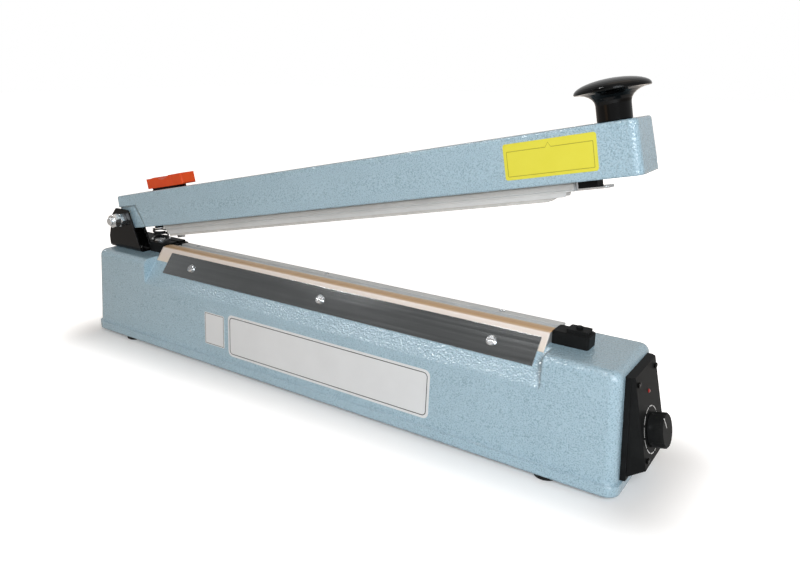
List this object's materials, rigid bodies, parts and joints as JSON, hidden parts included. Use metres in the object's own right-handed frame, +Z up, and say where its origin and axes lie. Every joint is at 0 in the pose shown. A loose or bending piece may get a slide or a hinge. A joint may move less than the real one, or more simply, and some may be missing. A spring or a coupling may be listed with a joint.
{
  "type": "bag sealer",
  "caption": "Hand impulse bag sealer: cast base with a heated sealing ridge and timer dial, a hinged pressure arm with a black knob, and a sliding cutter on top of the arm.",
  "frame": {"origin": "centre of the footprint on the plane of the feet soles", "axes": "+X along the base, from the hinge end to the dial end; +Y from the front, where the clamp strip is, to the back; +Z up. The sealing arm stands open"},
  "size_m": [0.6096, 0.087, 0.2819],
  "materials": {
    "casting_paint": "hammered enamel",
    "floor_steel": "plain sheet steel",
    "bright_steel": "bright plated",
    "black_rubber": "matt",
    "black_moulding": "satin moulding",
    "dark_screws": "blackened",
    "lamp_lens": "clear red lens",
    "brass_parts": "turned",
    "board_green": "lacquered laminate",
    "board_parts_blue": "moulded",
    "white_nylon": "nylon",
    "core_steel": "varnished laminations",
    "coil_copper": "varnished winding",
    "ridge_alloy": "drawn",
    "ridge_tape": "woven tape",
    "coated_cloth": "coated glass cloth",
    "polished_strip": "polished",
    "bar_alloy": "drawn and satin",
    "black_enamel": "gloss enamel",
    "spring_steel": "blackened",
    "silicone_rubber": "silicone",
    "knob_gloss": "gloss moulding",
    "orange_moulding": "gloss moulding"
  },
  "bodies": {
    "base": {"base_housing": "casting_paint", "floor_plate": "floor_steel", "floor_plate_screws": "bright_steel", "rubber_feet": "black_rubber", "foot_screws": "bright_steel", "control_panel": "black_moulding", "panel_screws": "dark_screws", "indicator_lamp": "lamp_lens", "dial_potentiometer": "floor_steel", "dial_nut": "brass_parts", "timer_board": "board_green", "board_parts": "board_parts_blue", "board_standoffs": "white_nylon", "transformer_core": "core_steel", "transformer_coil": "coil_copper", "transformer_clamp": "floor_steel", "transformer_screws": "bright_steel", "cord_grommet": "black_rubber", "mains_terminal_block": "white_nylon", "sealing_ridge": "ridge_alloy", "ridge_tape": "ridge_tape", "heating_ribbon": "bright_steel", "ribbon_terminals": "brass_parts", "ptfe_cloth": "coated_cloth", "clamp_strip": "polished_strip", "clamp_screws": "bright_steel", "cutter_rail": "bar_alloy", "rail_screws": "bright_steel", "end_block": "black_moulding", "switch_housing": "black_moulding", "micro_switch": "black_moulding", "hinge_bracket": "black_enamel", "bracket_screws": "bright_steel", "hinge_bolt": "bright_steel", "hinge_nuts": "bright_steel", "spring_seat": "bright_steel", "return_spring": "spring_steel"},
    "arm": {"arm_casting": "casting_paint", "hinge_bush": "brass_parts", "spring_pad": "black_rubber", "spring_washer": "bright_steel", "pressure_bar": "bar_alloy", "bar_screws": "bright_steel", "rubber_carrier": "bar_alloy", "rubber_strip": "silicone_rubber", "striker_plate": "bright_steel", "striker_block": "black_moulding", "handle_knob": "knob_gloss", "handle_bolt": "bright_steel"},
    "cutter": {"cutter_knob": "orange_moulding", "cutter_shoe": "black_moulding", "blade_holder": "floor_steel", "cutter_blade": "bright_steel"},
    "timer_dial": {"timer_knob": "black_moulding", "timer_shaft": "bright_steel"},
    "switch_button": {"switch_plunger": "black_moulding"}
  },
  "joints": [
    {"name": "arm_hinge", "type": "hinge", "parent": "base", "child": "arm", "pos_m": [-0.26931, 0, 0.1265], "axis": [0, 1, 0], "range_deg": [0, 11.25], "stiffness_Nm_per_rad": 12, "springref_deg": -22.92, "deforming": ["return_spring"]},
    {"name": "cutter_slide", "type": "slide", "parent": "arm", "child": "cutter", "axis": [0.9808, 0, 0.1951], "range_m": [0, 0.415]},
    {"name": "timer_dial_turn", "type": "hinge", "parent": "base", "child": "timer_dial", "pos_m": [0.2915, -0.003, 0.0436], "axis": [0.977, 0, 0.2131], "range_deg": [-164, 116]},
    {"name": "switch_press", "type": "slide", "parent": "base", "child": "switch_button", "axis": [0, 0, -1], "range_m": [0, 0.0015], "stiffness_N_per_m": 400, "springref_m": -0.002}
  ]
}
